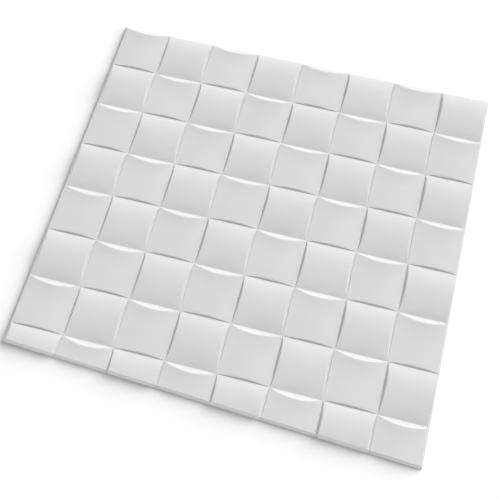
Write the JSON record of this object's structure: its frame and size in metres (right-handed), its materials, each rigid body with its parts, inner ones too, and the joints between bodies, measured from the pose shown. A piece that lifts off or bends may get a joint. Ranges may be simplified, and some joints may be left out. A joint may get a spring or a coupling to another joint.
{
  "type": "3d wall panel tile",
  "caption": "Square decorative wall panel cast in one piece, with a basket weave of shallow arched cells on its face and a flat back for gluing to a wall.",
  "frame": {"origin": "middle of the panel's box, on the flat back that it lies on", "axes": "+X along the panel's width, +Y towards its untrimmed back edge, +Z out of the patterned face"},
  "size_m": [0.5002, 0.4814, 0.0084],
  "materials": {
    "plaster": "matt white cast plaster"
  },
  "bodies": {
    "root": {"wall_panel": "plaster"}
  },
  "joints": []
}
